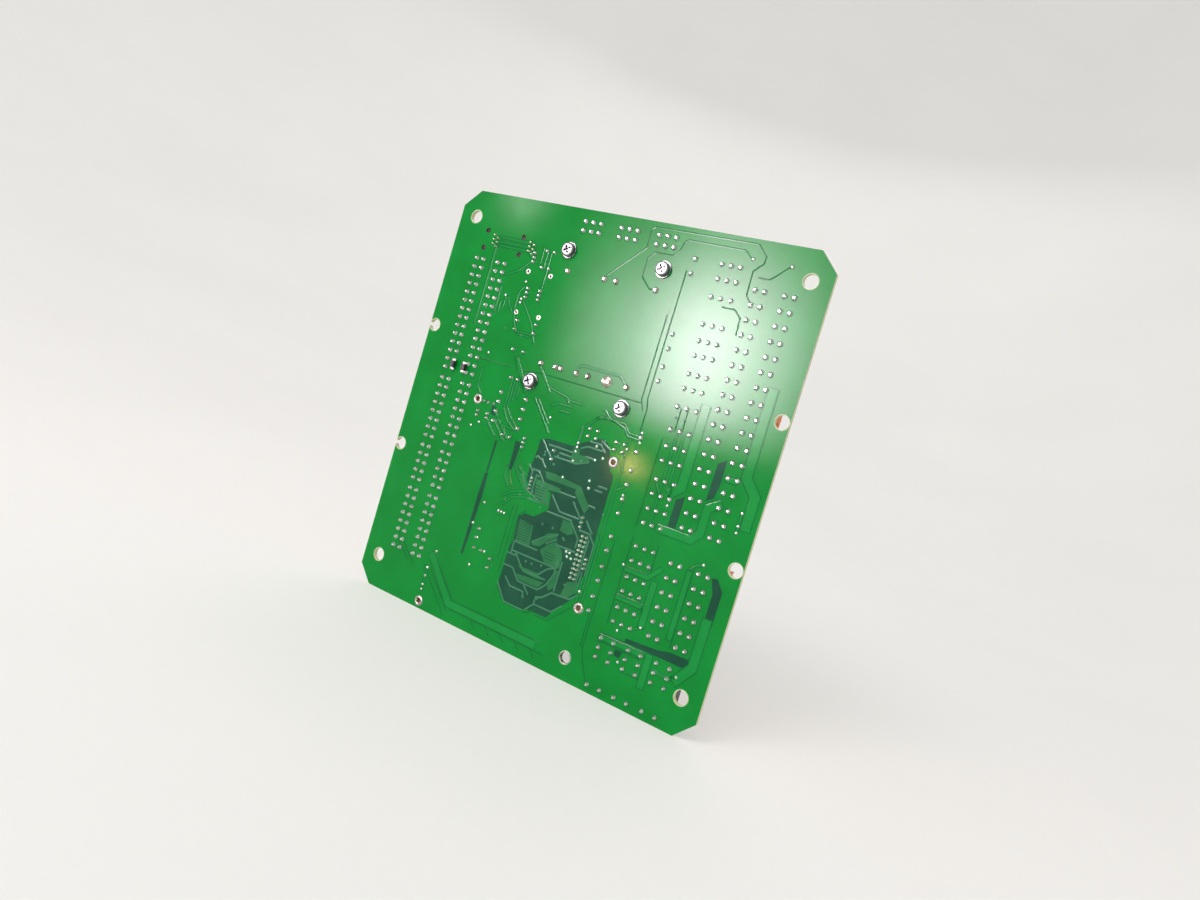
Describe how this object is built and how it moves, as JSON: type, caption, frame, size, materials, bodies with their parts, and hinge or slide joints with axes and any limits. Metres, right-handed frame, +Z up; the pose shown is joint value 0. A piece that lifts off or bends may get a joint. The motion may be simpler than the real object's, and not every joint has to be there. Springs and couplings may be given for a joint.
{
  "type": "motherboard",
  "caption": "Controller mother board seen from its solder side, with relays, transformer, two-level terminals, plugs and chips on the back.",
  "frame": {"origin": "centre of the four corner holes, on the solder-side face", "axes": "+X to the right and +Z up seen from the solder side, -Y out of the solder side, components towards +Y"},
  "size_m": [0.231, 0.0675, 0.2441],
  "materials": {
    "solder_mask_board": "satin green solder mask over glass laminate",
    "solder": "bright solder",
    "tinned_metal": "tinned",
    "plated_steel": "zinc plated",
    "core_steel": "varnished laminations",
    "copper_winding": "enamelled wire under tape",
    "bobbin_plastic": "moulded",
    "relay_cover": "moulded",
    "chip_plastic": "moulded",
    "orange_plastic": "moulded",
    "header_plastic": "moulded",
    "aluminium": "black anodised",
    "brass": "nickel plated",
    "can_sleeve": "shrink sleeve",
    "ferrite": "ferrite",
    "crystal_can": "plated can",
    "button_plastic": "moulded"
  },
  "bodies": {
    "board": {"button_bodies": "plated_steel", "capacitor_cans": "can_sleeve", "chip_leads": "tinned_metal", "chip_packages": "chip_plastic", "choke_core": "ferrite", "choke_winding": "copper_winding", "circuit_board": "solder_mask_board", "component_legs": "tinned_metal", "crystal": "crystal_can", "diode_terminals": "tinned_metal", "header_pins": "tinned_metal", "header_strips": "header_plastic", "heatsink_fasteners": "plated_steel", "heatsinks": "aluminium", "jack_contacts": "brass", "mains_terminals": "orange_plastic", "modular_jacks": "header_plastic", "power_terminal_lower": "orange_plastic", "power_terminal_pins": "tinned_metal", "power_terminal_screws": "plated_steel", "power_terminal_upper": "orange_plastic", "power_transistors": "chip_plastic", "processor": "chip_plastic", "relay_bases": "bobbin_plastic", "relay_coils": "copper_winding", "relay_covers": "relay_cover", "relay_pins": "tinned_metal", "relay_yokes": "plated_steel", "signal_header_1": "header_plastic", "signal_header_2": "header_plastic", "signal_header_3": "header_plastic", "signal_header_4": "header_plastic", "signal_header_pins": "tinned_metal", "solder_joints": "solder", "solder_side_diodes": "chip_plastic", "threaded_standoffs": "brass", "transformer_bobbin": "bobbin_plastic", "transformer_core": "core_steel", "transformer_nuts": "plated_steel", "transformer_pins": "tinned_metal", "transformer_screws": "plated_steel", "transformer_spacers": "plated_steel", "transformer_washers": "plated_steel", "transformer_windings": "copper_winding", "transistor_leads": "tinned_metal", "voltage_regulator": "chip_plastic"},
    "signal_plug_1": {"signal_plug_1": "orange_plastic", "signal_plug_screws_1": "plated_steel"},
    "signal_plug_2": {"signal_plug_2": "orange_plastic", "signal_plug_screws_2": "plated_steel"},
    "signal_plug_3": {"signal_plug_3": "orange_plastic", "signal_plug_screws_3": "plated_steel"},
    "signal_plug_4": {"signal_plug_4": "orange_plastic", "signal_plug_screws_4": "plated_steel"},
    "jumper_cap_1": {"jumper_cap_1": "button_plastic"},
    "button_plunger_1": {"button_plunger_1": "button_plastic"},
    "jumper_cap_2": {"jumper_cap_2": "button_plastic"},
    "button_plunger_2": {"button_plunger_2": "button_plastic"},
    "relay_armatures_column": {"relay_armatures_column": "plated_steel"},
    "relay_armatures_row": {"relay_armatures_row": "plated_steel"}
  },
  "joints": [
    {"name": "plug_1_pull", "type": "slide", "parent": "board", "child": "signal_plug_1", "axis": [0, 1, 0], "range_m": [0, 0.012]},
    {"name": "plug_2_pull", "type": "slide", "parent": "board", "child": "signal_plug_2", "axis": [0, 1, 0], "range_m": [0, 0.012]},
    {"name": "plug_3_pull", "type": "slide", "parent": "board", "child": "signal_plug_3", "axis": [0, 1, 0], "range_m": [0, 0.012]},
    {"name": "plug_4_pull", "type": "slide", "parent": "board", "child": "signal_plug_4", "axis": [0, 1, 0], "range_m": [0, 0.012]},
    {"name": "jumper_1_pull", "type": "slide", "parent": "board", "child": "jumper_cap_1", "axis": [0, 1, 0], "range_m": [0, 0.008]},
    {"name": "jumper_2_pull", "type": "slide", "parent": "board", "child": "jumper_cap_2", "axis": [0, 1, 0], "range_m": [0, 0.008]},
    {"name": "button_1_press", "type": "slide", "parent": "board", "child": "button_plunger_1", "axis": [0, -1, 0], "range_m": [0, 0.00025], "stiffness_N_per_m": 2000},
    {"name": "button_2_press", "type": "slide", "parent": "board", "child": "button_plunger_2", "axis": [0, -1, 0], "range_m": [0, 0.00025], "stiffness_N_per_m": 2000},
    {"name": "column_armatures_pull_in", "type": "hinge", "parent": "board", "child": "relay_armatures_column", "pos_m": [0.0549, 0.01515, 0], "axis": [0, 0, 1], "range_deg": [0, 3], "stiffness_Nm_per_rad": 0.05},
    {"name": "row_armatures_pull_in", "type": "hinge", "parent": "board", "child": "relay_armatures_row", "pos_m": [0.074, 0.01515, -0.10695], "axis": [-1, 0, 0], "range_deg": [0, 3], "stiffness_Nm_per_rad": 0.02}
  ]
}
